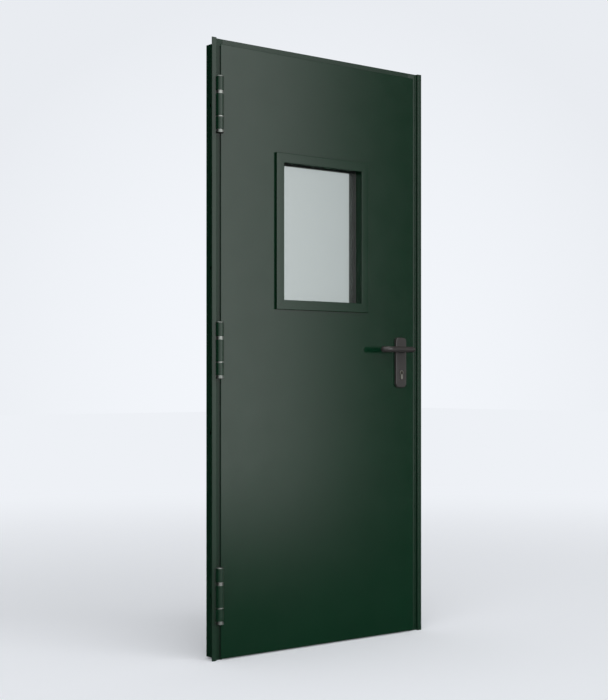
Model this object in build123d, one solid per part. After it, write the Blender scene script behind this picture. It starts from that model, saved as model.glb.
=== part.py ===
from build123d import *
from math import cos, radians, sin, tan
import os

# Single-leaf steel fire door in its frame, seen from the hinge side. All sizes are in millimetres.
# X runs from the hinge jamb to the lock jamb, +Y runs through the wall away from the viewer, +Z is up.
# The origin is the lower corner where the back of the hinge jamb's lip meets the edge of the wall opening.

# Frame, over the outer lips; each lip is the sheet folded back on itself
frame_width = 969.0
frame_height = 2100.0
frame_sheet = 2.0
lip_width = 19.0
lip_edge_radius = 1.8
lip_bend_radius = 2.5
groove_depth = 11.0
groove_fall = 1.2
groove_bend_radius = 2.0
shim_room = 3.5
head_lap = 16.0
body_depth = 49.0
body_foot_gap = 6.0

# Wall anchors through the jamb boxes
anchor_radius = 5.5
anchor_floor_height = 216.0
anchor_top_inset = 224.0
anchor_inner_spacing = 560.0

# Leaf and the gaps around it
leaf_thickness = 62.0
leaf_sheet = 1.5
leaf_fold_radius = 1.2
rebate_thickness = 4.0
rebate_overlap = 14.0
hinge_side_groove = 17.5
lock_side_groove = 23.5
head_groove = 20.0
hinge_side_gap = 5.0
lock_side_gap = 9.0
head_gap = 5.0
floor_gap = 4.0

# Flat seal strip on the groove floor
seal_width = 8.0
seal_height = 2.0
seal_inset = 2.0

# Vision panel
sight_width = 360.0
sight_height = 480.0
sight_bottom = 1225.0
bead_face = 33.0
bead_proud = 9.0
bead_edge = 1.5
bead_return = 15.0
glass_thickness = 16.0
glass_setback = 28.0
glass_edge_clearance = 3.0
tape_thickness = 2.0
tape_width = 10.0

# Hinges, each with an upper leaf knuckle, a frame knuckle and a lower leaf knuckle
hinge_floor_height = 220.0
hinge_top_inset = 228.0
barrel_radius = 14.0
hinge_axis_inset = 1.5
hinge_axis_proud = 15.0
upper_knuckle = 46.0
frame_knuckle = 74.0
lower_knuckle = 42.0
top_cap = 3.0
bearing_height = 11.0
bearing_radius = 11.5
bearing_flange_radius = 13.0
bearing_flange = 2.5
washer_height = 4.0
washer_radius = 13.0
foot_neck = 5.0
foot_neck_radius = 12.0
foot_cap = 7.0
cap_edge = 1.5
pin_radius = 6.0
pin_clearance = 0.05
stack_clearance = 0.3
knuckle_edge = 1.0
frame_tab_inset = 2.0
frame_tab_thickness = 8.0
leaf_tab_thickness = 9.0

# Lever handle on its backplate
backset = 70.0
lever_height = 1058.0
lever_radius = 11.0
lever_standoff = 64.0
lever_length = 117.0
lever_bend_radius = 27.0
lever_bend_angle = 60.0
lever_tail = 11.5
lever_end_round = 10.5
lever_running_gap = 0.3
lever_seat_depth = 6.0
spindle_side = 9.0
spindle_seat = 30.0
spindle_hole_radius = 9.0
plate_width = 52.0
plate_height = 186.0
plate_thickness = 10.0
plate_corner = 15.0
plate_edge = 3.0
plate_above_lever = 46.0

# Profile cylinder and lock
cylinder_below_lever = 85.0
cylinder_radius = 8.5
cylinder_stem_width = 10.0
cylinder_height = 33.0
cylinder_proud = 3.0
cylinder_clearance = 0.3
keyway_width = 3.0
keyway_height = 9.0
keyway_depth = 8.0
forend_width = 24.0
forend_height = 235.0
forend_thickness = 3.0
forend_above_lever = 77.0
latch_width = 12.0
latch_height = 20.0
latch_depth = 40.0
latch_above_lever = 20.0
bolt_width = 14.0
bolt_height = 34.0
bolt_depth = 36.0
bolt_below_lever = 54.0
bolt_clearance = 0.3
strike_width = 24.0
strike_height = 190.0
strike_above_lever = 62.0
strike_play = 3.0

# Places worked out from the sizes above
lip_front = -2 * frame_sheet
lip_inner_x = frame_sheet
lip_outer_x = lip_inner_x - lip_width
opening_width = frame_width + 2 * lip_outer_x
groove_floor = lip_front + groove_depth
groove_end = groove_floor + groove_fall
body_front = groove_end + frame_sheet
body_back = body_front + body_depth
leaf_front = lip_front
leaf_back = leaf_front + leaf_thickness
rebate_back = leaf_front + rebate_thickness
leaf_left = lip_inner_x + hinge_side_groove
leaf_right = opening_width - lip_inner_x - lock_side_groove
leaf_top = frame_height - head_groove
throat_left = leaf_left + rebate_overlap
throat_right = leaf_right - rebate_overlap
throat_top = leaf_top - rebate_overlap
body_left = throat_left + hinge_side_gap
body_right = throat_right - lock_side_gap
body_top = throat_top - head_gap
frame_body_top = frame_height - head_lap
sight_mid_x = (leaf_left + leaf_right) / 2
sight_mid_z = sight_bottom + sight_height / 2
glass_front = leaf_front + glass_setback
glass_back = glass_front + glass_thickness
hinge_axis_x = lip_inner_x + hinge_axis_inset
hinge_axis_y = leaf_front - hinge_axis_proud
hinge_top_height = frame_height - hinge_top_inset
hinge_heights = {"bottom": hinge_floor_height, "middle": (hinge_floor_height + hinge_top_height) / 2,
                 "top": hinge_top_height}
anchor_outer_spacing = frame_height - anchor_floor_height - anchor_top_inset
anchor_mid_height = anchor_floor_height + anchor_outer_spacing / 2
handle_x = leaf_right - backset
lock_mid_y = (rebate_back + leaf_back) / 2


def block(x_range, y_range, z_range):
    """A box between two corners, given as a low and high value on each axis."""
    low = [span[0] for span in (x_range, y_range, z_range)]
    high = [span[1] for span in (x_range, y_range, z_range)]
    size = [b - a for a, b in zip(low, high)]
    return Pos(*low) * Box(*size, align=(Align.MIN, Align.MIN, Align.MIN))


def upright(points, z_range):
    """A prism with the given outline in plan, between two heights."""
    outline = make_face(Polyline(*points, close=True))
    return Pos(0, 0, z_range[0]) * extrude(outline, amount=z_range[1] - z_range[0])


def barrel(radius, z_range, axis=(hinge_axis_x, hinge_axis_y)):
    """An upright cylinder between two heights."""
    height = z_range[1] - z_range[0]
    return Pos(*axis, z_range[0]) * Cylinder(radius, height, align=(Align.CENTER, Align.CENTER, Align.MIN))


def cross_rod(radius, x, z, y_range):
    """A cylinder that runs through the wall direction."""
    length = y_range[1] - y_range[0]
    turned = Rot(-90, 0, 0) * Cylinder(radius, length, align=(Align.CENTER, Align.CENTER, Align.MIN))
    return Pos(x, y_range[0], z) * turned


def write(node, shape):
    """Write one piece to its own file."""
    export_step(shape, f"parts/{node}.step")


# Frame jambs

def at_opening(mirrored, *distances):
    """Turn distances from an edge of the wall opening into sorted X values."""
    return tuple(sorted(opening_width - span if mirrored else span for span in distances))


def groove_level(throat, distance):
    """Depth of the groove floor at a distance from the opening's edge; it falls towards the throat."""
    return groove_end - groove_fall * (throat - distance) / (throat - lip_inner_x)


def jamb(mirrored):
    """A jamb: hemmed lip, sloping groove floor and the hollow box that stands in the wall opening."""
    throat = opening_width - throat_right if mirrored else throat_left
    profile = [(lip_outer_x, lip_front), (lip_inner_x, lip_front), (lip_inner_x, groove_floor),
               (throat, groove_end), (throat, body_front), (0, body_front), (0, 0), (lip_outer_x, 0)]
    face = upright(profile, (0, frame_height))

    def corner(point):
        """The upright edge of the face at one point of its profile."""
        return face.edges().filter_by(Axis.Z).sort_by(
            lambda edge: (edge.center() - Vector(*point, frame_height / 2)).length)[0]

    for points, radius in ((profile[:1] + profile[-1:], lip_edge_radius), (profile[1:2], lip_bend_radius),
                           (profile[2:3], groove_bend_radius), (profile[3:4], lip_edge_radius)):
        face = fillet([corner(point) for point in points], radius)
    if mirrored:
        face = Pos(opening_width, 0, 0) * mirror(face, about=Plane.YZ)
    box = block(at_opening(mirrored, shim_room, throat), (body_front, body_back), (body_foot_gap, frame_body_top))
    hollow = block(at_opening(mirrored, shim_room + frame_sheet, throat - frame_sheet),
                   (body_front, body_back - frame_sheet), (body_foot_gap, frame_body_top - frame_sheet))
    return face + (box - hollow)


def anchor_holes(x_range):
    """The four anchor holes of one jamb, in two pairs about one middle."""
    tools = []
    for spacing in (anchor_outer_spacing, anchor_inner_spacing):
        for side in (-1, 1):
            rod = Rot(0, 90, 0) * Cylinder(anchor_radius, x_range[1] - x_range[0],
                                           align=(Align.CENTER, Align.CENTER, Align.MIN))
            height = anchor_mid_height + side * spacing / 2
            tools.append(Pos(x_range[0], (body_front + body_back) / 2, height) * rod)
    return tools


def strike_shape():
    """The strike plate's outline through the lock jamb's wall."""
    top = lever_height + strike_above_lever
    return block((throat_right, throat_right + frame_sheet),
                 (lock_mid_y - strike_width / 2, lock_mid_y + strike_width / 2), (top - strike_height, top))


def bolt_block(width, height, z, x_range, grow):
    """The outline of a latch or bolt, grown by a play on each side."""
    return block(x_range, (lock_mid_y - width / 2 - grow, lock_mid_y + width / 2 + grow),
                 (z - height / 2 - grow, z + height / 2 + grow))


latch_z = lever_height + latch_above_lever
bolt_z = lever_height - bolt_below_lever


def frame_pieces():
    """Jambs, head, seal strips and strike plate."""
    write("hinge_jamb", jamb(False) - anchor_holes((shim_room, throat_left)))
    write("lock_jamb", jamb(True) - anchor_holes((throat_right, opening_width - shim_room)) - strike_shape())
    strike_x = (throat_right, throat_right + frame_sheet)
    strike = strike_shape()
    strike -= bolt_block(latch_width, latch_height, latch_z, strike_x, strike_play)
    strike -= bolt_block(bolt_width, bolt_height, bolt_z, strike_x, strike_play)
    write("strike_plate", strike)

    head_x = (throat_left, throat_right)
    head = block(head_x, (groove_end, body_front), (throat_top, frame_height))
    head += block(head_x, (body_front, body_back), (throat_top, frame_body_top))
    head -= block(head_x, (body_front, body_back - frame_sheet),
                  (throat_top + frame_sheet, frame_body_top - frame_sheet))
    write("head", head)

    seat = groove_level(throat_left, throat_left - seal_inset - seal_width)
    seal_y = (seat - seal_height, seat)
    left_x = (throat_left - seal_inset - seal_width, throat_left - seal_inset)
    right_x = (throat_right + seal_inset, throat_right + seal_inset + seal_width)
    side_z = (0, throat_top)
    top_z = (throat_top + seal_inset, throat_top + seal_inset + seal_width)
    write("frame_seal", Compound([block(left_x, seal_y, side_z), block(right_x, seal_y, side_z),
                                  block((left_x[0], right_x[1]), seal_y, top_z)]))


# Leaf

def window_block(extra, y_range):
    """A block on the vision panel's middle, wider than the sight size by extra on each side."""
    half_width = sight_width / 2 + extra
    half_height = sight_height / 2 + extra
    return block((sight_mid_x - half_width, sight_mid_x + half_width), y_range,
                 (sight_mid_z - half_height, sight_mid_z + half_height))


def cylinder_profile(grow, y_range):
    """The keyhole-shaped outline of the profile cylinder, grown by a play."""
    z = lever_height - cylinder_below_lever
    stem_low = z + cylinder_radius - cylinder_height
    head_round = cross_rod(cylinder_radius + grow, handle_x, z, y_range)
    half = cylinder_stem_width / 2
    foot_z = stem_low + half
    stem = block((handle_x - half - grow, handle_x + half + grow), y_range, (foot_z, z))
    return head_round + stem + cross_rod(half + grow, handle_x, foot_z, y_range)


def forend_shape():
    """The lock's edge plate, let into the leaf's edge."""
    top = lever_height + forend_above_lever
    return block((body_right - forend_thickness, body_right),
                 (lock_mid_y - forend_width / 2, lock_mid_y + forend_width / 2), (top - forend_height, top))


def lock_cuts():
    """Everything the lock needs cut out of the sheets and the core."""
    through = (leaf_front, leaf_back)
    inner = body_right - forend_thickness
    return [cross_rod(spindle_hole_radius, handle_x, lever_height, through),
            cylinder_profile(cylinder_clearance, through),
            forend_shape(),
            bolt_block(latch_width, latch_height, latch_z, (inner - latch_depth, inner), bolt_clearance),
            bolt_block(bolt_width, bolt_height, bolt_z, (inner - bolt_depth, inner), bolt_clearance)]


def leaf_pieces():
    """Front sheet with its rebate, back tray and core."""
    aperture = window_block(bead_return, (leaf_front, leaf_back))
    face_y = (leaf_front, leaf_front + leaf_sheet)
    whole_x = (leaf_left, leaf_right)
    whole_z = (floor_gap, leaf_top)
    front = block(whole_x, face_y, whole_z)
    rebate = block(whole_x, (face_y[1], rebate_back), whole_z)
    rebate -= block((body_left, body_right), (face_y[1], rebate_back), (floor_gap, body_top))
    front += rebate
    front = fillet(front.faces().sort_by(Axis.Y)[0].outer_wire().edges(), leaf_fold_radius)
    write("leaf_front_sheet", front - aperture - lock_cuts())

    inside_x = (body_left + leaf_sheet, body_right - leaf_sheet)
    inside_y = (face_y[1], leaf_back - leaf_sheet)
    inside_z = (floor_gap + leaf_sheet, body_top - leaf_sheet)
    tray = block((body_left, body_right), (face_y[1], leaf_back), (floor_gap, body_top))
    tray = fillet(tray.faces().sort_by(Axis.Y)[-1].outer_wire().edges(), leaf_fold_radius)
    write("leaf_back_tray", tray - block(inside_x, inside_y, inside_z) - aperture - lock_cuts())
    write("leaf_core", block(inside_x, inside_y, inside_z) - aperture - lock_cuts())


def glazing_pieces():
    """Bead frames, tapes and glass of the vision panel."""
    tape_front = glass_front - tape_thickness
    tape_back = glass_back + tape_thickness

    def bead(face_y, return_y, outer_face):
        """A flat face ring with a return that holds the glass."""
        ring = window_block(bead_face, face_y)
        rim = ring.faces().filter_by(Axis.Y).sort_by(Axis.Y)[outer_face].edges()
        ring = fillet(rim, bead_edge)
        return ring + window_block(bead_return, return_y) - window_block(
            0, (min(face_y[0], return_y[0]), max(face_y[1], return_y[1])))

    write("front_bead_frame", bead((leaf_front - bead_proud, leaf_front), (leaf_front, tape_front), 0))
    write("back_bead_frame", bead((leaf_back, leaf_back + bead_proud), (tape_back, leaf_back), -1))
    glass_edge = bead_return - glass_edge_clearance
    write("glass_pane", window_block(glass_edge, (glass_front, glass_back)))
    for node, span in (("front_glazing_tape", (tape_front, glass_front)),
                       ("back_glazing_tape", (glass_back, tape_back))):
        write(node, window_block(tape_width, span) - window_block(0, span))


# Hinges

def hinge_pieces(place, middle):
    """One hinge: its knuckles, pin, bearing and washer, stacked from the top down."""
    stack = [top_cap, upper_knuckle, bearing_height, frame_knuckle, washer_height, lower_knuckle,
             foot_neck, foot_cap]
    levels = [middle + sum(stack) / 2]
    for height in stack:
        levels.append(levels[-1] - height)
    cap, upper, bearing, fixed, washer, lower, neck, foot = [
        (low, high) for high, low in zip(levels, levels[1:])]

    def knuckle(span, tab, running):
        """A barrel with its weld tab, bored for the pin."""
        body = barrel(barrel_radius, span)
        body = chamfer(body.edges().filter_by(GeomType.CIRCLE), knuckle_edge)
        return body + upright(tab, span) - barrel(pin_radius + running, span)

    tab_x = (lip_inner_x + frame_tab_inset, lip_inner_x + frame_tab_inset + frame_tab_thickness)
    tab_root = hinge_axis_y + barrel_radius / 2
    frame_tab = [(tab_x[0], tab_root), (tab_x[1], tab_root),
                 (tab_x[1], groove_level(throat_left, tab_x[1])), (tab_x[0], groove_level(throat_left, tab_x[0]))]
    leaf_tab = [(leaf_left, leaf_front), (leaf_left, rebate_back), (leaf_left - leaf_tab_thickness, rebate_back),
                (hinge_axis_x, tab_root), (leaf_left - leaf_tab_thickness, hinge_axis_y)]
    raised = (upper[0] + stack_clearance, upper[1])
    dropped = (lower[0] + stack_clearance, lower[1] - stack_clearance)
    write(f"{place}_hinge_leaf_knuckles",
          Compound([knuckle(raised, leaf_tab, pin_clearance), knuckle(dropped, leaf_tab, pin_clearance)]))
    write(f"{place}_hinge_frame_knuckle", knuckle(fixed, frame_tab, pin_clearance))

    cap_disc = barrel(barrel_radius, (cap[0] + stack_clearance, cap[1]))
    cap_disc = chamfer(cap_disc.edges().group_by(Axis.Z)[-1], cap_edge)
    foot_disc = barrel(barrel_radius, foot)
    foot_disc = chamfer(foot_disc.edges().group_by(Axis.Z)[0], cap_edge)
    pin = cap_disc + barrel(pin_radius, (foot[0], cap[1])) + barrel(foot_neck_radius, neck) + foot_disc
    write(f"{place}_hinge_pin", pin)

    race = barrel(bearing_radius, bearing)
    race += barrel(bearing_flange_radius, (bearing[0], bearing[0] + bearing_flange))
    race += barrel(bearing_flange_radius, (bearing[1] - bearing_flange, bearing[1]))
    ring = barrel(washer_radius, washer)
    write(f"{place}_hinge_bearing",
          Compound([race - barrel(pin_radius + pin_clearance, bearing),
                    ring - barrel(pin_radius + pin_clearance, washer)]))


# Lever handle and lock

def lever(face_y, outward):
    """A round lever, mitred at its neck, that runs to the hinge side and bends back to the leaf."""
    root = face_y + outward * (plate_thickness - lever_seat_depth)
    far = face_y + outward * lever_standoff
    corner_x = handle_x - lever_length
    reach = lever_tail + lever_bend_radius * tan(radians(lever_bend_angle / 2))
    tip_x = corner_x - reach * cos(radians(lever_bend_angle))
    tip_y = far - outward * reach * sin(radians(lever_bend_angle))
    neck = Line((handle_x, root, lever_height), (handle_x, far, lever_height))
    run = FilletPolyline((handle_x, far, lever_height), (corner_x, far, lever_height), (tip_x, tip_y, lever_height),
                         radius=lever_bend_radius)
    start = Plane(origin=(handle_x, root, lever_height), z_dir=(0, outward, 0))
    grip = sweep(start * Circle(lever_radius), path=Wire([neck, *run.edges()]), transition=Transition.RIGHT)
    tip = Vector(tip_x, tip_y, lever_height)
    at_tip = grip.faces().sort_by(lambda face: (face.center() - tip).length)[0]
    return fillet(at_tip.edges(), lever_end_round)


def handle_pieces():
    """Backplates, levers, spindle, profile cylinder, edge plate, latch and bolt."""
    spindle_half = spindle_side / 2
    spindle_y = (leaf_front - spindle_seat, leaf_back + spindle_seat)
    spindle = block((handle_x - spindle_half, handle_x + spindle_half), spindle_y,
                    (lever_height - spindle_half, lever_height + spindle_half))
    write("spindle", spindle)

    plate_top = lever_height + plate_above_lever
    for node, face_y, outward in (("front", leaf_front, -1), ("back", leaf_back, 1)):
        span = tuple(sorted((face_y, face_y + outward * plate_thickness)))
        plate = block((handle_x - plate_width / 2, handle_x + plate_width / 2), span,
                      (plate_top - plate_height, plate_top))
        plate = fillet(plate.edges().filter_by(Axis.Y), plate_corner)
        rim = plate.faces().filter_by(Axis.Y).sort_by(Axis.Y)[0 if outward < 0 else -1].edges()
        plate = fillet(rim, plate_edge)
        plate -= cross_rod(lever_radius + lever_running_gap, handle_x, lever_height, span)
        write(f"{node}_backplate", plate - cylinder_profile(cylinder_clearance, span))
        write(f"{node}_lever", lever(face_y, outward) - spindle)

    ends = (leaf_front - plate_thickness - cylinder_proud, leaf_back + plate_thickness + cylinder_proud)
    cylinder = cylinder_profile(0, ends)
    key_z = lever_height - cylinder_below_lever
    for key_y in ((ends[0], ends[0] + keyway_depth), (ends[1] - keyway_depth, ends[1])):
        cylinder -= block((handle_x - keyway_width / 2, handle_x + keyway_width / 2), key_y,
                          (key_z - keyway_height / 2, key_z + keyway_height / 2))
    write("lock_cylinder", cylinder)

    edge_x = (body_right - forend_thickness, body_right)
    forend = forend_shape() - bolt_block(latch_width, latch_height, latch_z, edge_x, bolt_clearance)
    write("lock_forend", forend - bolt_block(bolt_width, bolt_height, bolt_z, edge_x, bolt_clearance))
    inner = body_right - forend_thickness
    write("latch_bolt", bolt_block(latch_width, latch_height, latch_z, (inner - latch_depth, body_right), 0))
    write("dead_bolt", bolt_block(bolt_width, bolt_height, bolt_z, (inner - bolt_depth, body_right), 0))


os.makedirs("parts", exist_ok=True)
frame_pieces()
leaf_pieces()
glazing_pieces()
for place, middle in hinge_heights.items():
    hinge_pieces(place, middle)
handle_pieces()
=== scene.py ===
"""Steel fire door set with a vision panel: the dressed model, its studio and the camera.

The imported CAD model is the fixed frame. X runs from the hinge jamb to the lock jamb, +Y runs through the
wall away from the viewer and +Z is up. Sizes in the classes are millimetres; Blender works in metres.
"""
import logging
import math
from collections.abc import Callable
from dataclasses import dataclass
from enum import Enum
from typing import Self

import bmesh
import bpy
from mathutils import Matrix, Vector


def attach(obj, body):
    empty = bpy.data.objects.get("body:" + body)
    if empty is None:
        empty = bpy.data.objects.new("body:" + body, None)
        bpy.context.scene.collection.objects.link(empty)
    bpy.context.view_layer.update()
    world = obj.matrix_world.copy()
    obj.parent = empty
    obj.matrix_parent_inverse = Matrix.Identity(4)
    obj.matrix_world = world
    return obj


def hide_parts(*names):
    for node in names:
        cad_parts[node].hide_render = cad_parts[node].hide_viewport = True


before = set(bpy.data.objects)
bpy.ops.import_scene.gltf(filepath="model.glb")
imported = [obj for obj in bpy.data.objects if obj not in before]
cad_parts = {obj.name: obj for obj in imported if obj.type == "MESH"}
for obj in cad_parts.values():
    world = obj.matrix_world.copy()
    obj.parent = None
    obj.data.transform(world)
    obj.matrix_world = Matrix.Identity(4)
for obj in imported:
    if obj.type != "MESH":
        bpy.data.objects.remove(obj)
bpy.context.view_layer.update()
MM = 0.001
# How far off, in millimetres, still counts as on a line or a plane
NEAR = 0.1
# The least cosine between a direction and an axis that counts as along it
ALONG = 0.9
LOG = logging.getLogger("fire_door")
Point = tuple[float, float, float]
Tree = bpy.types.NodeTree
Node = bpy.types.Node
Socket = bpy.types.NodeSocket
Item = bpy.types.Object


class Body(Enum):
    """The bodies that move as one."""

    FRAME = "frame"
    LEAF = "leaf"
    LEVER = "lever"


class Side(Enum):
    """The two faces of the leaf, each with its outward direction along Y."""

    FRONT = -1
    BACK = 1

    @property
    def word(self) -> str:
        """The side's name as the CAD nodes write it."""
        return self.name.lower()


class Pick(Enum):
    """What a selection holds."""

    VERT = "VERT"
    EDGE = "EDGE"
    FACE = "FACE"


class Slot(Enum):
    """Names of the record's material slots; fit() takes one with each new piece but doesn't use it."""

    GREEN = "green_paint"
    SEAL = "black_seal"
    HANDLE = "black_handle"
    NICKEL = "nickel_cylinder"
    STEEL = "plain_steel"


def srgb(code: str) -> tuple[float, float, float, float]:
    """Turn an sRGB hex colour into linear values.

    Args:
        code: Six hex digits after a hash sign.

    Returns:
        Linear red, green and blue, and an alpha of 1.
    """
    parts = [int(code[i:i + 2], 16) / 255 for i in (1, 3, 5)]
    red, green, blue = [p / 12.92 if p <= 0.04045 else ((p + 0.055) / 1.055) ** 2.4 for p in parts]
    return red, green, blue, 1.0


def shades(code: str, spread: float) -> list[tuple[float, ...]]:
    """A darker and a lighter shade of an sRGB hex colour, each a share away from it."""
    return [tuple(min(part * share, 1.0) for part in srgb(code)[:3]) + (1.0,)
            for share in (1 - spread, 1 + spread)]


def per_metre(size_mm: float) -> float:
    """The texture scale that gives a pattern this many millimetres across."""
    return 1 / (size_mm * MM)


def add_node(tree: Tree, kind: str, inputs: dict | None = None, **settings: object) -> Node:
    """Add one node with its settings and links.

    Args:
        tree: The node tree that takes the node.
        kind: The node's type name.
        inputs: Values, sockets or nodes for its inputs, by name or number. A node gives its first output in
            use.
        settings: Attributes to set on the node.

    Returns:
        The new node.
    """
    node = tree.nodes.new(kind)
    for name, value in settings.items():
        setattr(node, name, value)
    for key, value in (inputs or {}).items():
        if isinstance(value, Node):
            value = next(socket for socket in value.outputs if socket.enabled)
        if isinstance(value, Socket):
            tree.links.new(value, node.inputs[key])
        else:
            node.inputs[key].default_value = value
    return node


def seen_directly(tree: Tree) -> Node:
    """Tell what the eye sees from the light that strikes a surface.

    Args:
        tree: The node tree that takes the nodes.

    Returns:
        A node that gives 1 for what the camera sees straight or through clear glass, and 0 for the rest.
    """
    path = add_node(tree, "ShaderNodeLightPath").outputs
    unmirrored = add_node(tree, "ShaderNodeMath", {0: path["Glossy Depth"], 1: 0.5}, operation="LESS_THAN")
    through = add_node(tree, "ShaderNodeMath", {0: path["Is Transmission Ray"], 1: unmirrored},
                       operation="MULTIPLY")
    return add_node(tree, "ShaderNodeMath", {0: path["Is Camera Ray"], 1: through}, operation="MAXIMUM")


def clear_bench() -> None:
    """Close edit mode where it is open, and deselect everything."""
    held = bpy.context.active_object
    if held is not None and held.mode == "EDIT":
        bpy.ops.object.mode_set(mode="OBJECT")
    bpy.ops.object.select_all(action="DESELECT")


def discard(*items: Item) -> None:
    """Take pieces off the bench with their meshes.

    Args:
        items: The pieces.
    """
    for item in items:
        spare = item.data
        bpy.data.objects.remove(item)
        bpy.data.meshes.remove(spare)


@dataclass(frozen=True)
class Finish:
    """What every finish has: a name, a colour and a roughness."""

    name: str
    colour: str
    roughness: float

    def material(self) -> bpy.types.Material:
        """Build the material, or return it if it is there already.

        Returns:
            The finish's material.
        """
        ready = bpy.data.materials.get(self.name)
        if ready is not None:
            return ready
        made = bpy.data.materials.new(self.name)
        made.use_nodes = True
        made.node_tree.nodes.clear()
        made.diffuse_color = srgb(self.colour)
        self.wire(made.node_tree)
        return made

    def wire(self, tree: Tree) -> None:
        """Add the finish's nodes to an empty tree.

        Args:
            tree: The material's node tree.
        """
        raise NotImplementedError

    def relief(self, tree: Tree, place: Socket | Node, width_mm: float, depth_mm: float,
               detail: float) -> tuple[Node, Node]:
        """Add a fine pattern that also raises the surface.

        Args:
            tree: The material's node tree.
            place: The coordinates that the pattern follows.
            width_mm: How wide its marks are.
            depth_mm: How deep they are.
            detail: How many finer layers it has.

        Returns:
            The pattern, and the bump that it gives.
        """
        pattern = add_node(tree, "ShaderNodeTexNoise", {"Vector": place, "Scale": per_metre(width_mm),
                                                        "Detail": detail})
        bump = add_node(tree, "ShaderNodeBump", {"Height": pattern, "Strength": 1.0,
                                                 "Distance": depth_mm * MM})
        return pattern, bump

    def mottled(self, tree: Tree, pattern: Node, spread: float) -> Node:
        """Mix a darker and a lighter shade of the finish's colour by a pattern."""
        low, high = shades(self.colour, spread)
        return add_node(tree, "ShaderNodeMix", {"Factor": pattern, "A": low, "B": high}, data_type="RGBA")

    def shade(self, tree: Tree, inputs: dict) -> None:
        """Add the surface shader and the output.

        Args:
            tree: The material's node tree.
            inputs: Values, sockets and nodes for the surface shader.
        """
        shader = add_node(tree, "ShaderNodeBsdfPrincipled", inputs)
        add_node(tree, "ShaderNodeOutputMaterial", {"Surface": shader})


@dataclass(frozen=True)
class PowderCoat(Finish):
    """Polyester powder coat, sprayed dry and baked on metal."""

    clouding: float = 0.10
    cloud_mm: float = 260.0
    peel_mm: float = 5.0
    peel_depth_mm: float = 0.012
    rub_mm: float = 90.0
    rub_spread: float = 0.03

    def wire(self, tree: Tree) -> None:
        """One even colour with soft gloss, faint clouding and the shallow orange peel of baked powder.

        Args:
            tree: The material's node tree.
        """
        place = add_node(tree, "ShaderNodeTexCoord").outputs["Object"]
        clouds = add_node(tree, "ShaderNodeTexNoise", {"Vector": place, "Scale": per_metre(self.cloud_mm),
                                                       "Detail": 3.0})
        # Real orange peel is 1 to 2 mm across; it is drawn coarser so that it shows at this distance.
        _, peel = self.relief(tree, place, self.peel_mm, self.peel_depth_mm, 1.0)
        rub = add_node(tree, "ShaderNodeTexNoise", {"Vector": place, "Scale": per_metre(self.rub_mm),
                                                    "Detail": 4.0})
        gloss = add_node(tree, "ShaderNodeMapRange", {"Value": rub,
                                                      "To Min": self.roughness - self.rub_spread,
                                                      "To Max": self.roughness + self.rub_spread})
        self.shade(tree, {"Base Color": self.mottled(tree, clouds, self.clouding), "Roughness": gloss,
                          "Normal": peel})


@dataclass(frozen=True)
class SatinMetal(Finish):
    """Metal with a satin surface, plated, coated or bare, and fine marks left by its making."""

    mark_mm: float = 1.2
    mark_stretch: Point = (1.0, 1.0, 1.0)
    mark_depth_mm: float = 0.004
    mark_spread: float = 0.05
    mottle: float = 0.10
    mottle_mm: float = 14.0

    def wire(self, tree: Tree) -> None:
        """A soft metal glare, broken by fine marks along the way the piece was worked.

        Args:
            tree: The material's node tree.
        """
        place = add_node(tree, "ShaderNodeTexCoord").outputs["Object"]
        along = add_node(tree, "ShaderNodeMapping", {"Vector": place, "Scale": self.mark_stretch})
        # The real marks are a few hundredths of a millimetre apart; they are drawn coarser so that they show.
        marks, bump = self.relief(tree, along, self.mark_mm, self.mark_depth_mm, 2.0)
        patches = add_node(tree, "ShaderNodeTexNoise", {"Vector": place, "Scale": per_metre(self.mottle_mm),
                                                        "Detail": 3.0})
        gloss = add_node(tree, "ShaderNodeMapRange", {"Value": marks,
                                                      "To Min": self.roughness - self.mark_spread,
                                                      "To Max": self.roughness + self.mark_spread})
        self.shade(tree, {"Base Color": self.mottled(tree, patches, self.mottle), "Metallic": 1.0,
                          "Roughness": gloss, "Normal": bump})


@dataclass(frozen=True)
class FloatGlass(Finish):
    """Laminated fire glass: float panes with clear swelling layers between them."""

    ior: float = 1.5
    clearness: float = 0.90
    wave_mm: float = 70.0
    wave_depth_mm: float = 0.02

    def wire(self, tree: Tree) -> None:
        """Clear and slightly grey, with the faint long waves of float glass in its reflections.

        Args:
            tree: The material's node tree.
        """
        place = add_node(tree, "ShaderNodeTexCoord").outputs["Object"]
        _, waves = self.relief(tree, place, self.wave_mm, self.wave_depth_mm, 0.0)
        self.shade(tree, {"Base Color": srgb(self.colour), "Roughness": self.roughness, "IOR": self.ior,
                          "Transmission Weight": self.clearness, "Normal": waves})


@dataclass(frozen=True)
class MouldedSoft(Finish):
    """Rubber, silicone, graphite strip or mineral wool: matt, with a grain."""

    grain_mm: float = 0.8
    grain_depth_mm: float = 0.05
    fleck: float = 0.25

    def wire(self, tree: Tree) -> None:
        """A matt face with a fine grain and small changes of tone.

        Args:
            tree: The material's node tree.
        """
        place = add_node(tree, "ShaderNodeTexCoord").outputs["Object"]
        # The grain is drawn as wide as a render pixel needs.
        grain, bump = self.relief(tree, place, self.grain_mm, self.grain_depth_mm, 4.0)
        self.shade(tree, {"Base Color": self.mottled(tree, grain, self.fleck), "Roughness": self.roughness,
                          "Normal": bump})


# The leaf is dark green with a soft sheen, the frame and knuckles are duller, the handles nearly black.
LEAF_COAT = PowderCoat("powder_coat_baked_satin_green", "#092B1A", 0.15)
FRAME_COAT = PowderCoat("powder_coat_baked_dull_green", "#092B1A", 0.24, peel_mm=4.0)
HANDLE_COAT = PowderCoat("powder_coat_baked_satin_charcoal", "#393736", 0.20, clouding=0.06, peel_mm=3.0)
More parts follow.
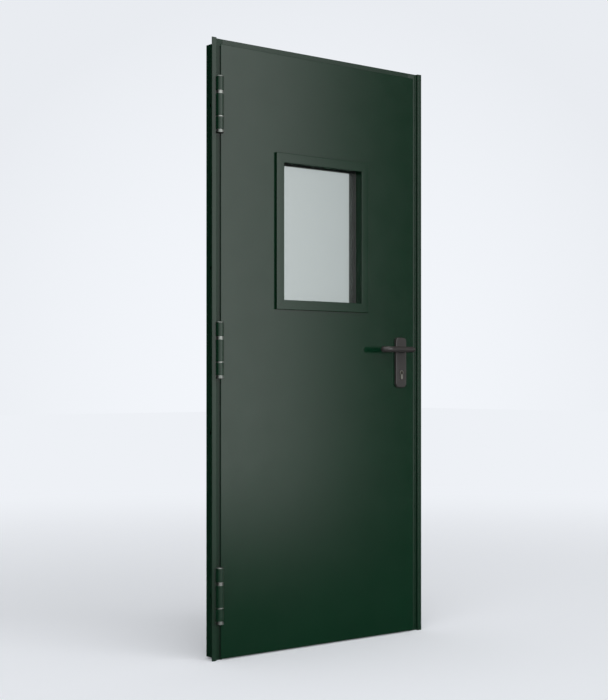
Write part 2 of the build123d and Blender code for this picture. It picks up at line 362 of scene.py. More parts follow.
# Pins are dull grey and bearings brighter, both with marks round them; plates are pale and even; the cylinder
# is a greyish silver round plugs whose dark colour is painted shade, standing for the shade in their keyways.
ROUND_MARKS = (0.05, 0.05, 1.0)
UPRIGHT_MARKS = (1.0, 1.0, 0.1)
PIN_STEEL = SatinMetal("mild_steel_turned_dull", "#8E938F", 0.40, 1.5, ROUND_MARKS)
TURNED_STEEL = SatinMetal("bright_steel_lathe_turned", "#9A9E9A", 0.34, 1.5, ROUND_MARKS)
ZINC_STEEL = SatinMetal("mild_steel_zinc_plated", "#B9BCBB", 0.38, 3.0)
NICKEL_BRASS = SatinMetal("brass_satin_nickel_plated", "#8A8A83", 0.34, 1.2, UPRIGHT_MARKS)
# The plugs' dark colour is painted shade: it stands for the shade in and round the keyways.
KEYWAY_SHADE_BRASS = SatinMetal("brass_turned_dark_keyway_shade", "#4A4842", 0.40, 1.2)
# The glass is clear and faintly grey.
FIRE_GLASS = FloatGlass("laminated_float_glass_clear", "#BFC6C2", 0.0)
# Rubber and nylon are flat black, sealant has a wet sheen, strips are dark grey, the core straw-coloured.
EPDM = MouldedSoft("epdm_rubber_extruded_black", "#1B1B1B", 0.62)
SILICONE = MouldedSoft("silicone_sealant_tooled_black", "#202221", 0.35, 6.0, 0.15)
NYLON = MouldedSoft("nylon_moulded_black", "#232323", 0.45)
GRAPHITE = MouldedSoft("graphite_strip_pressed_grey", "#2B2C2D", 0.7, 1.5)
MINERAL_WOOL = MouldedSoft("mineral_wool_bonded_fibre", "#9C8B62", 0.95, 2.5, 0.6, 0.5)


@dataclass(frozen=True)
class Backdrop(Finish):
    """Matt studio floor that keeps the object's shadow and fades into the pale backdrop."""

    far_colour: str = "#EEF1F6"
    lift: float = 0.10
    middle: Point = (0.45, 0.0, 0.0)
    fade_from: float = 1.2
    fade_to: float = 7.0

    def wire(self, tree: Tree) -> None:
        """A pale floor: a matt part takes the shadow and a camera-only part makes up the rest.

        Args:
            tree: The material's node tree.
        """
        place = add_node(tree, "ShaderNodeTexCoord").outputs["Object"]
        away = add_node(tree, "ShaderNodeVectorMath", {0: place, 1: self.middle}, operation="DISTANCE")
        far = add_node(tree, "ShaderNodeMapRange", {"Value": away, "From Min": self.fade_from,
                                                    "From Max": self.fade_to},
                       interpolation_type="SMOOTHSTEP")
        seen = seen_directly(tree)
        lifted = add_node(tree, "ShaderNodeMath", {0: seen, 1: self.lift}, operation="MULTIPLY")
        near_glow, far_glow = [add_node(tree, "ShaderNodeEmission", {"Color": srgb(self.far_colour),
                                                                     "Strength": strength})
                               for strength in (lifted, seen)]
        matt = add_node(tree, "ShaderNodeBsdfDiffuse", {"Color": srgb(self.colour)})
        near = add_node(tree, "ShaderNodeAddShader", {0: matt, 1: near_glow})
        both = add_node(tree, "ShaderNodeMixShader", {0: far, 1: near, 2: far_glow})
        add_node(tree, "ShaderNodeOutputMaterial", {"Surface": both})


@dataclass(frozen=True)
class SoftBox:
    """A soft light far off, given by the directions that it fills.

    Each edge fades in from its first angle to its second. Turns are degrees from straight in front of the
    door towards the lock side, and rises are degrees above level.
    """

    level: float
    right_turn: tuple[float, float]
    left_turn: tuple[float, float]
    foot_rise: tuple[float, float]
    top_rise: tuple[float, float]

    def wire(self, tree: Tree, turn: Node, rise: Node, under: Node | float) -> Node:
        """Add this box's light to what is there already.

        Args:
            tree: The world's node tree.
            turn: Gives a direction's turn, in radians.
            rise: Gives its rise, in radians.
            under: The light that is there already.

        Returns:
            The light with this box in it.
        """
        spans = ((turn, self.right_turn, "LINEAR"), (turn, self.left_turn, "LINEAR"),
                 (rise, self.foot_rise, "SMOOTHSTEP"), (rise, self.top_rise, "SMOOTHSTEP"))
        shares = [add_node(tree, "ShaderNodeMapRange", {"Value": angle, "From Min": math.radians(first),
                                                        "From Max": math.radians(second)},
                           interpolation_type=fade) for angle, (first, second), fade in spans]
        pane = shares[0]
        for share in shares[1:]:
            pane = add_node(tree, "ShaderNodeMath", {0: pane, 1: share}, operation="MULTIPLY")
        return add_node(tree, "ShaderNodeMath", {0: pane, 1: self.level, 2: under}, operation="MULTIPLY_ADD")


@dataclass(frozen=True)
class FillLamp:
    """A soft square lamp that lights matt surfaces and isn't mirrored; places are in metres."""

    name: str
    place: Point
    target: Point
    watts: float
    size: float = 3.0

    def hang(self) -> None:
        """Hang the lamp and point it at its target."""
        bulb = bpy.data.lights.new(self.name, "AREA")
        bulb.size = self.size
        bulb.energy = self.watts
        lamp = bpy.data.objects.new(self.name, bulb)
        lamp.location = self.place
        lamp.rotation_euler = (Vector(self.target) - Vector(self.place)).to_track_quat("-Z", "Y").to_euler()
        lamp.visible_glossy = False
        bpy.context.scene.collection.objects.link(lamp)


@dataclass
class Studio:
    """Camera, lamps, floor and surroundings."""

    image_width: int = 608
    image_height: int = 700
    sensor_mm: float = 36.0
    focal_px: float = 1426.0
    horizon_px: float = 379.0
    eye: Point = (-2.7922, -3.9198, 0.9494)
    heading_deg: float = -39.01
    far_clip: float = 200.0
    floor: Backdrop = Backdrop("studio_floor_painted_pale", "#ECEFF4", 1.0)
    floor_size: float = 60.0
    boxes: tuple[SoftBox, ...] = (
        SoftBox(1.95, (41.6, 37.3), (-22.0, -8.0), (-8.8, -2.8), (52.0, 40.0)),
        SoftBox(1.10, (-8.0, -22.0), (-76.0, -60.0), (-8.8, -2.8), (52.0, 40.0)),
        SoftBox(0.70, (130.0, 115.0), (49.0, 57.0), (-12.0, -6.0), (28.0, 16.0)),
        SoftBox(0.50, (182.0, 181.0), (112.0, 128.0), (-12.0, -6.0), (28.0, 16.0)),
        SoftBox(2.00, (182.0, 181.0), (-182.0, -181.0), (58.0, 70.0), (100.0, 95.0)))
    lamps: tuple[FillLamp, ...] = (FillLamp("front_fill", (-3.4, -5.2, 2.6), (0.45, 0.0, 1.0), 50.0),
                                   FillLamp("high_fill", (-2.0, -1.9, 8.0), (0.45, 0.0, 0.0), 80.0))
    room_level: float = 0.01
    mirror_share: float = 0.01
    drop_way: Point = (0.63, 0.777, 0.0)
    drop_fade: tuple[float, float] = (0.965, 0.999)
    drop_tones: tuple[str, str] = ("#E9ECF1", "#F3F6FB")

    def build(self) -> None:
        """Set up everything that isn't part of the door."""
        self.place_camera()
        self.lay_floor()
        self.surround()
        for lamp in self.lamps:
            lamp.hang()

    def place_camera(self) -> None:
        """Stand the camera where the photograph was taken."""
        lens = bpy.data.cameras.new("camera")
        longest = max(self.image_width, self.image_height)
        lens.sensor_width = self.sensor_mm
        lens.lens = self.sensor_mm * self.focal_px / longest
        lens.shift_y = (self.horizon_px - self.image_height / 2) / longest
        lens.clip_end = self.far_clip
        camera = bpy.data.objects.new("camera", lens)
        camera.location = self.eye
        camera.rotation_euler = (math.pi / 2, 0.0, math.radians(self.heading_deg))
        bpy.context.scene.collection.objects.link(camera)
        bpy.context.scene.camera = camera

    def lay_floor(self) -> None:
        """Lay the floor under the door."""
        clear_bench()
        bpy.ops.mesh.primitive_plane_add(size=self.floor_size)
        ground = bpy.context.active_object
        ground.name = "studio_floor"
        ground.visible_glossy = False
        ground.data.materials.append(self.floor.material())

    def surround(self) -> None:
        """Make the surroundings: a pale backdrop for the eye, and soft boxes in a dim room as light."""
        world = bpy.data.worlds.new("studio")
        bpy.context.scene.world = world
        world.use_nodes = True
        tree = world.node_tree
        tree.nodes.clear()
        way = add_node(tree, "ShaderNodeTexCoord").outputs["Generated"]
        axes = add_node(tree, "ShaderNodeSeparateXYZ", {0: way}).outputs
        front = add_node(tree, "ShaderNodeMath", {0: axes["Y"], 1: -1.0}, operation="MULTIPLY")
        turn = add_node(tree, "ShaderNodeMath", {0: axes["X"], 1: front}, operation="ARCTAN2")
        rise = add_node(tree, "ShaderNodeMath", {0: axes["Z"]}, operation="ARCSINE")
        level = self.room_level
        for box in self.boxes:
            level = box.wire(tree, turn, rise, level)
        room = add_node(tree, "ShaderNodeBackground", {"Color": srgb("#FFFFFF"), "Strength": level})
        near = add_node(tree, "ShaderNodeVectorMath", {0: way, 1: self.drop_way}, operation="DOT_PRODUCT")
        glow = add_node(tree, "ShaderNodeMapRange", {"Value": near, "From Min": self.drop_fade[0],
                                                     "From Max": self.drop_fade[1]})
        edge, middle = [srgb(tone) for tone in self.drop_tones]
        tone = add_node(tree, "ShaderNodeMix", {"Factor": glow, "A": edge, "B": middle}, data_type="RGBA")
        drop = add_node(tree, "ShaderNodeBackground", {"Color": tone, "Strength": 1.0})
        mirrored = add_node(tree, "ShaderNodeLightPath").outputs["Is Glossy Ray"]
        share = add_node(tree, "ShaderNodeMath", {0: mirrored, 1: self.mirror_share, 2: seen_directly(tree)},
                         operation="MULTIPLY_ADD")
        both = add_node(tree, "ShaderNodeMixShader", {0: share, 1: room, 2: drop})
        add_node(tree, "ShaderNodeOutputWorld", {"Surface": both})


def dress_nodes(finish: Finish, *nodes: str, mirrored: bool = True) -> None:
    """Give CAD nodes a finish.

    Args:
        finish: The finish they take.
        nodes: The nodes' names.
        mirrored: Whether they show in the gloss of other pieces.
    """
    for node in nodes:
        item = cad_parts[node]
        item.visible_glossy = mirrored
        item.data.materials.clear()
        item.data.materials.append(finish.material())
        LOG.info("%s dressed in %s", node, finish.name)


class Workpiece:
    """A new mesh on the bench, which edit-mode operators turn from a primitive into a piece.

    Sizes are millimetres.
    """

    WELD = 0.05
    DOUBLE = 0.002
    SMOOTH_DEG = 32

    def __init__(self, name: str) -> None:
        """Take up the primitive that was just added and open it for editing.

        Args:
            name: The piece's name.
        """
        self.item = bpy.context.active_object
        self.item.name = name
        self.item.data.name = name
        bpy.ops.object.transform_apply(location=True, rotation=True, scale=True)
        bpy.ops.object.mode_set(mode="EDIT")
        bpy.ops.mesh.select_all(action="SELECT")

    @classmethod
    def block(cls, name: str, low: Point, high: Point) -> Self:
        """Start from a cube stretched between two corners.

        Args:
            name: The piece's name.
            low: Its lowest corner.
            high: Its highest corner.

        Returns:
            The workpiece, open in edit mode.
        """
        clear_bench()
        bpy.ops.mesh.primitive_cube_add(size=1.0, location=[(a + b) / 2 * MM for a, b in zip(low, high)],
                                        scale=[abs(b - a) * MM for a, b in zip(low, high)])
        return cls(name)

    @classmethod
    def disc(cls, name: str, middle: Point, radius: float, along: Point, sides: int = 32,
             filled: bool = True) -> Self:
        """Start from a circle square to a direction.

        Args:
            name: The piece's name.
            middle: The circle's middle.
            radius: Its radius.
            along: The direction it faces.
            sides: How many edges it has.
            filled: Whether it is a face or an open ring.

        Returns:
            The workpiece, open in edit mode.
        """
        clear_bench()
        bpy.ops.mesh.primitive_circle_add(vertices=sides, radius=radius * MM,
                                          location=[c * MM for c in middle],
                                          rotation=Vector(along).to_track_quat("Z", "Y").to_euler(),
                                          fill_type="NGON" if filled else "NOTHING")
        return cls(name)

    def select(self, pick: Pick, test: Callable[[Vector, Vector], bool]) -> Self:
        """Select what lies in the right place.

        Args:
            pick: The kind of element.
            test: Takes an element's place, and its normal or, for an edge, its direction.

        Returns:
            The workpiece.
        """
        bpy.ops.mesh.select_mode(type=pick.value)
        bpy.ops.mesh.select_all(action="DESELECT")
        mesh = bmesh.from_edit_mesh(self.item.data)
        mesh.normal_update()
        if pick is Pick.FACE:
            parts = [(face, face.calc_center_median(), face.normal) for face in mesh.faces]
        elif pick is Pick.EDGE:
            ends = [(edge, edge.verts[0].co, edge.verts[1].co) for edge in mesh.edges]
            parts = [(edge, (a + b) / 2, (b - a).normalized()) for edge, a, b in ends]
        else:
            parts = [(vert, vert.co, vert.normal) for vert in mesh.verts]
        for part, place, lie in parts:
            if test(place / MM, lie):
                part.select_set(True)
        bmesh.update_edit_mesh(self.item.data)
        return self

    def extrude(self, x: float = 0.0, y: float = 0.0, z: float = 0.0) -> Self:
        """Pull the selection out by a distance along each axis."""
        bpy.ops.mesh.extrude_region_move(TRANSFORM_OT_translate={"value": (x * MM, y * MM, z * MM)})
        return self

    def inset(self, width: float, depth: float = 0.0) -> Self:
        """Inset the selected faces, and raise them by a depth."""
        bpy.ops.mesh.inset(thickness=width * MM, depth=depth * MM)
        return self

    def bevel(self, width: float, segments: int = 3) -> Self:
        """Round the selected edges."""
        bpy.ops.mesh.bevel(offset=width * MM, offset_type="OFFSET", segments=segments, affect="EDGES")
        return self

    def spin(self, degrees: float, centre: Point, axis: Point, steps: int) -> Self:
        """Sweep the selection round an axis.

        Args:
            degrees: The angle of the sweep.
            centre: A point on the axis.
            axis: The axis's direction.
            steps: How many steps it takes.

        Returns:
            The workpiece.
        """
        bpy.ops.mesh.spin(steps=steps, angle=math.radians(degrees), axis=axis,
                          center=[c * MM for c in centre])
        return self

    def cut(self, place: Point, normal: Point, clear: bool = True, fill: bool = True) -> Self:
        """Cut the whole piece with a plane.

        Args:
            place: A point on the plane.
            normal: The plane's direction.
            clear: Whether what lies beyond the plane is taken off.
            fill: Whether the cut is then closed.

        Returns:
            The workpiece.
        """
        bpy.ops.mesh.select_all(action="SELECT")
        bpy.ops.mesh.bisect(plane_co=[c * MM for c in place], plane_no=normal, use_fill=clear and fill,
                            clear_outer=clear)
        return self

    def close(self) -> Self:
        """Fill the selected ring of edges."""
        bpy.ops.mesh.edge_face_add()
        return self

    def remove(self) -> Self:
        """Delete the selected vertices."""
        bpy.ops.mesh.delete(type="VERT")
        return self

    def merge(self) -> Self:
        """Merge vertices that fell on one place."""
        bpy.ops.mesh.select_all(action="SELECT")
        bpy.ops.mesh.remove_doubles(threshold=self.WELD * MM)
        return self

    def divide(self, cuts: int) -> Self:
        """Divide the selected edges evenly."""
        bpy.ops.mesh.subdivide(number_cuts=cuts)
        return self

    def ruffle(self, offset: float, seed: int) -> Self:
        """Move the selected vertices a little, the same way each run."""
        bpy.ops.transform.vertex_random(offset=offset * MM, uniform=0.0, normal=0.0, seed=seed)
        return self

    def flatten(self, axis: int, level: float) -> Self:
        """Bring the selected vertices to one level along an axis."""
        scale = [0.0 if i == axis else 1.0 for i in range(3)]
        centre = [level * MM if i == axis else 0.0 for i in range(3)]
        bpy.ops.transform.resize(value=scale, center_override=centre)
        return self

    def combine(self, tool: Self, operation: str) -> Self:
        """Join another workpiece to this one or cut it out, and take that one off the bench.

        Args:
            tool: The other workpiece.
            operation: UNION or DIFFERENCE.

        Returns:
            The workpiece, open in edit mode.
        """
        other = tool.finish()
        self.finish()
        clear_bench()
        bpy.context.view_layer.objects.active = self.item
        self.item.select_set(True)
        change = self.item.modifiers.new("combine", "BOOLEAN")
        change.operation = operation
        change.solver = "EXACT"
        change.object = other
        bpy.ops.object.modifier_apply(modifier=change.name)
        discard(other)
        bpy.ops.object.mode_set(mode="EDIT")
        return self

    def finish(self) -> Item:
        """Merge doubles, point the faces outwards, smooth the shallow edges and close edit mode.

        Returns:
            The piece.
        """
        if self.item.mode != "EDIT":
            clear_bench()
            bpy.context.view_layer.objects.active = self.item
            self.item.select_set(True)
            bpy.ops.object.mode_set(mode="EDIT")
        bpy.ops.mesh.select_all(action="SELECT")
        bpy.ops.mesh.remove_doubles(threshold=self.DOUBLE * MM)
        bpy.ops.mesh.normals_make_consistent(inside=False)
        bpy.ops.object.mode_set(mode="OBJECT")
        bpy.ops.object.shade_smooth_by_angle(angle=math.radians(self.SMOOTH_DEG))
        # Weighted by area, so that a flat face stays flat beside its rounded edge.
        level = self.item.modifiers.new("level", "WEIGHTED_NORMAL")
        level.keep_sharp = True
        level.weight = 100
        bpy.ops.object.modifier_apply(modifier=level.name)
        return self.item


def copy_of(item: Item, change: Matrix) -> Item:
    """Copy a piece with a mesh of its own.

    Args:
        item: The piece to copy.
        change: Moves the copy's mesh, in metres.

    Returns:
        The copy.
    """
    twin = item.copy()
    twin.data = item.data.copy()
    twin.data.transform(change)
    bpy.context.scene.collection.objects.link(twin)
    return twin


def join(name: str, items: list[Item]) -> Item:
    """Make several meshes one piece.

    Args:
        name: The piece's name.
        items: The meshes; the first one stays.

    Returns:
        The piece.
    """
    clear_bench()
    for item in items:
        item.select_set(True)
    bpy.context.view_layer.objects.active = items[0]
    bpy.ops.object.join()
    items[0].name = name
    items[0].data.name = name
    return items[0]


def fit(piece: Item, finish: Finish, slot: Slot, body: Body, *nodes: str) -> None:
    """Dress a new piece and fix it to what carries it.

    Args:
        piece: The piece.
        finish: Its finish.
        slot: The record's material slot that stands for the finish; not used.
        body: The body that it moves with.
        nodes: The CAD nodes that it stands for.
    """
    piece.data.materials.clear()
    piece.data.materials.append(finish.material())
    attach(piece, body.value)
    if nodes:
        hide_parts(*nodes)
    LOG.info("%s modelled in %s on the %s", piece.name, finish.name, body.value)


def place_mm(x: float, y: float, z: float) -> Matrix:
    """The move to a place in millimetres."""
    return Matrix.Translation((x * MM, y * MM, z * MM))


def turn_y(degrees: float) -> Matrix:
    """The turn about the Y axis."""
    return Matrix.Rotation(math.radians(degrees), 4, "Y")


@dataclass(frozen=True)
class Screw:
    """A countersunk screw with a six-sided socket, seen from its head."""

    radius: float = 3.8
    proud: float = 0.3
    sunk: float = 1.2
    socket: float = 1.7
    foot_share: float = 0.7
    rim_share: float = 0.12
    crown_share: float = 0.3
    socket_share: float = 0.6

    def head(self) -> Item:
        """Model one head at the origin, facing +Z.

        Returns:
            The head.
        """
        piece = Workpiece.disc("screw_head", (0, 0, -self.sunk), self.radius * self.foot_share, (0, 0, 1), 24)
        piece.extrude(z=self.sunk)
        spread = 1 / self.foot_share
        bpy.ops.transform.resize(value=(spread, spread, 1.0), center_override=(0, 0, 0))
        piece.extrude(z=self.proud).inset(self.radius * self.rim_share, self.proud * self.crown_share)
        tool = Workpiece.disc("socket", (0, 0, -self.sunk * self.socket_share), self.socket, (0, 0, 1), 6)
        tool.extrude(z=self.sunk * 2)
        return piece.combine(tool, "DIFFERENCE").finish()

    def row(self, name: str, places: list[Point], along: Point) -> Item:
        """Set a row of screws that face one way.

        Args:
            name: The row's name.
            places: Where each head sits, in millimetres.
            along: The direction that they face.

        Returns:
            The row as one piece.
        """
        first = self.head()
        turn = Vector(along).to_track_quat("Z", "Y").to_matrix().to_4x4()
        copies = [copy_of(first, place_mm(*place) @ turn) for place in places]
        discard(first)
        return join(name, copies)


@dataclass
class FrameSet:
    """Jambs, head, seal and strike plate."""

    seal_level: float = 7.82
    seal_base: float = 1.0
    seal_width: float = 8.0
    seal_left: float = 23.5
    seal_right: float = 897.5
    seal_top: float = 2068.0
    rib_width: float = 2.2
    rib_height: float = 1.2
    rib_round: float = 0.77
    strike_face: float = 895.5
    lock_mid_y: float = 29.0
    strike_screws: tuple[float, ...] = (938.0, 1112.0)
    screw: Screw = Screw()

    def build(self) -> None:
        """Dress the frame and model its seal and screws."""
        dress_nodes(FRAME_COAT, "hinge_jamb", "lock_jamb", "head")
        dress_nodes(ZINC_STEEL, "strike_plate")
        side = self.seal_run(self.seal_top)
        top = self.seal_run(self.seal_right + self.seal_width - self.seal_left)
        corner = place_mm(self.seal_left, 0, self.seal_top + self.seal_width)
        runs = [copy_of(side, place_mm(self.seal_left, 0, 0)), copy_of(side, place_mm(self.seal_right, 0, 0)),
                copy_of(top, corner @ turn_y(90))]
        discard(side, top)
        fit(join("frame_seal_strips", runs), EPDM, Slot.SEAL, Body.FRAME, "frame_seal")
        places = [(self.strike_face, self.lock_mid_y, z) for z in self.strike_screws]
        heads = self.screw.row("strike_screws", places, (-1, 0, 0))
        fit(heads, ZINC_STEEL, Slot.STEEL, Body.FRAME)

    def seal_run(self, length: float) -> Item:
        """Model a length of seal, upright at x 0: a flat base with two ribs.

        Args:
            length: Its length.

        Returns:
            The run.
        """
        top = self.seal_level - self.seal_base
        run = Workpiece.block("seal_run", (0, top, 0), (self.seal_width, self.seal_level, length))
        middles, half = (self.seal_width / 4, self.seal_width * 3 / 4), self.rib_width / 2
        for middle in middles:
            for edge in (middle - half, middle + half):
                run.cut((edge, 0, 0), (1, 0, 0), clear=False)
        run.select(Pick.FACE, lambda place, lie: lie.y < -ALONG
                   and min(abs(place.x - middle) for middle in middles) < NEAR)
        run.extrude(y=-self.rib_height)
        run.select(Pick.EDGE, lambda place, lie: abs(lie.z) > ALONG and place.y < top - self.rib_height / 2)
        return run.bevel(self.rib_round).finish()


@dataclass
class Leaf:
    """Front sheet, back tray, core and the swelling strips on the back of its rebate."""

    edge_left: float = 38.5
    edge_right: float = 886.5
    edge_top: float = 2061.0
    floor_gap: float = 4.0
    rebate_back: float = 0.0
    strip_width: float = 9.0
    strip_proud: float = 1.2
    strip_sunk: float = 0.2
    strip_foot: float = 1.0
    strip_lip: float = 1.5
    strip_slope: float = 0.3

    def build(self) -> None:
        """Dress the leaf and model its strips."""
        # The frame's groove shows the studio's light in its gloss, and not the leaf's edge.
        dress_nodes(LEAF_COAT, "leaf_front_sheet", "leaf_back_tray", mirrored=False)
        dress_nodes(MINERAL_WOOL, "leaf_core")
        foot = self.floor_gap + self.strip_foot
        side = self.strip(self.edge_top - foot)
        top = self.strip(self.edge_right - self.edge_left + 2 * self.strip_width)
        corner = self.edge_right + self.strip_width
        runs = [copy_of(side, place_mm(self.edge_right, self.rebate_back, foot)),
                copy_of(side, place_mm(self.edge_left, self.rebate_back, self.edge_top) @ turn_y(180)),
                copy_of(top, place_mm(corner, self.rebate_back, self.edge_top) @ turn_y(-90))]
        discard(side, top)
        fit(join("leaf_edge_strips", runs), GRAPHITE, Slot.SEAL, Body.LEAF)

    def strip(self, length: float) -> Item:
        """Model a length of strip upright, from x 0 to +X, stuck on a face at y 0 that looks to +Y.

        Args:
            length: Its length.

        Returns:
            The strip.
        """
        run = Workpiece.block("edge_strip", (0, -self.strip_sunk, 0),
                              (self.strip_width, self.strip_proud, length))
        run.select(Pick.FACE, lambda place, lie: lie.y > ALONG)
        run.inset(self.strip_lip).inset(self.strip_slope, -self.strip_proud / 2)
        return run.finish()


@dataclass
class VisionPanel:
    """Glass, tapes, mitred beads and the sealant between beads and glass."""

    mid_x: float = 464.5
    mid_z: float = 1465.0
    sight_width: float = 360.0
    sight_height: float = 480.0
    bead_face: float = 33.0
    bead_return: float = 15.0
    outer_round: float = 1.5
    inner_round: float = 1.0
    hairline: float = 0.25
    sealant_leg: float = 3.0
    sealant_sunk: float = 0.3
    sealant_wave: float = 0.7
    sealant_step: float = 11.0
    bead_levels: tuple[tuple[float, float, float], ...] = ((-13.0, -4.0, 22.0), (67.0, 58.0, 42.0))
    glass_levels: tuple[float, float] = (24.0, 40.0)
    screw: Screw = Screw(radius=3.3, socket=1.4)
    side_pitch: float = 142.5
    level_pitch: float = 150.0

    def build(self) -> None:
        """Dress the glass and tapes, and model the beads and sealant of both sides."""
        dress_nodes(FIRE_GLASS, "glass_pane")
        dress_nodes(EPDM, "front_glazing_tape", "back_glazing_tape")
        for side, levels, glass in zip(Side, self.bead_levels, self.glass_levels):
            beads = self.ring(f"{side.word}_mitred_beads", lambda run: self.bead_bar(run, *levels))
            fit(beads, LEAF_COAT, Slot.GREEN, Body.LEAF, f"{side.word}_bead_frame")
            sealant = self.ring(f"{side.word}_sealant", lambda run: self.sealant_bar(run, glass, side))
            fit(sealant, SILICONE, Slot.SEAL, Body.LEAF)
        self.fix_back_beads()

    def ring(self, name: str, bar: Callable[[float], Item]) -> Item:
        """Set four bars round the sight opening, each modelled upright with its inner edge on x 0.

        Args:
            name: The ring's name.
            bar: Makes a bar for a run of the given length.

        Returns:
            The ring as one piece.
        """
        upright, level = bar(self.sight_height), bar(self.sight_width)
        middle = place_mm(self.mid_x, 0, self.mid_z)
        bars = [copy_of(model, middle @ turn_y(angle) @ place_mm(-out / 2, 0, 0))
                for model, out, angle in ((upright, self.sight_width, 0), (level, self.sight_height, 90),
                                          (upright, self.sight_width, 180), (level, self.sight_height, 270))]
        discard(upright, level)
        return join(name, bars)

    def bead_bar(self, run: float, face: float, root: float, end: float) -> Item:
        """Model one folded bead with a flat face, a return to the glass and mitred ends.

        Args:
            run: The length of the sight edge that it follows.
            face: The level of its outer face.
            root: The level of the leaf's face under it.
            end: The level where the return meets the tape.

        Returns:
            The bar.
        """
        out = 1 if face > root else -1
        half = run / 2 + self.bead_face
        bar = Workpiece.block("bead_bar", (-self.bead_return, face, -half), (0, end, half))
        bar.cut((0, root, 0), (0, 1, 0), clear=False)
        bar.select(Pick.FACE, lambda place, lie: lie.x < -ALONG and (place.y - root) * out > 0)
        bar.extrude(x=self.bead_return - self.bead_face)
        for edge, rounding in ((-self.bead_face, self.outer_round), (0, self.inner_round)):
            bar.select(Pick.EDGE, lambda place, lie: abs(lie.z) > ALONG and abs(place.y - face) < NEAR
                       and abs(place.x - edge) < NEAR)
            bar.bevel(rounding, 4)
        for sign in (-1, 1):
            bar.cut((0, 0, sign * (run / 2 - self.hairline / 2)), (1, 0, sign))
        return bar.finish()

    def sealant_bar(self, run: float, glass: float, side: Side) -> Item:
        """Model one run of sealant in the corner of bead and glass, its free face drawn by hand.

        Args:
            run: The length of the sight edge that it follows.
            glass: The level of the glass's face.
            side: The side of the glass that it is on.

        Returns:
            The bar.
        """
        leg = self.sealant_leg
        crest = glass + side.value * leg
        bar = Workpiece.block("sealant_bar", (-self.sealant_sunk, glass, -run / 2), (leg, crest, run / 2))
        bar.cut((leg, glass, 0), (1, side.value, 0))
        for sign in (-1, 1):
            bar.cut((0, 0, sign * run / 2), (1, 0, sign))
        bar.select(Pick.EDGE, lambda place, lie: abs(lie.z) > ALONG).divide(round(run / self.sealant_step))
        bar.select(Pick.VERT, lambda place, lie: place.x > leg / 2 and abs(place.z) < run / 2 - 2 * leg)
        bar.ruffle(self.sealant_wave, round(run))
        bar.flatten(1, glass)
        return bar.finish()

    def fix_back_beads(self) -> None:
        """Set the screws that hold the back beads; the front ones have none that show."""
        half_width = (self.sight_width + self.bead_face) / 2
        half_height = (self.sight_height + self.bead_face) / 2
        face = self.bead_levels[1][0]
        places = [(self.mid_x + x, face, self.mid_z + step * self.side_pitch)
                  for x in (-half_width, half_width) for step in (-1.5, -0.5, 0.5, 1.5)]
        places += [(self.mid_x + step * self.level_pitch, face, self.mid_z + z)
                   for z in (-half_height, half_height) for step in (-1, 0, 1)]
        fit(self.screw.row("back_bead_screws", places, (0, 1, 0)), ZINC_STEEL, Slot.STEEL, Body.LEAF)


@dataclass
class HingeSet:
    """The three hinges."""

    places: tuple[str, ...] = ("bottom", "middle", "top")

    def build(self) -> None:
        """Dress the hinges."""
        for place in self.places:
            hinge = f"{place}_hinge"
            dress_nodes(FRAME_COAT, f"{hinge}_frame_knuckle", f"{hinge}_leaf_knuckles", mirrored=False)
            dress_nodes(PIN_STEEL, f"{hinge}_pin", mirrored=False)
            dress_nodes(TURNED_STEEL, f"{hinge}_bearing", mirrored=False)


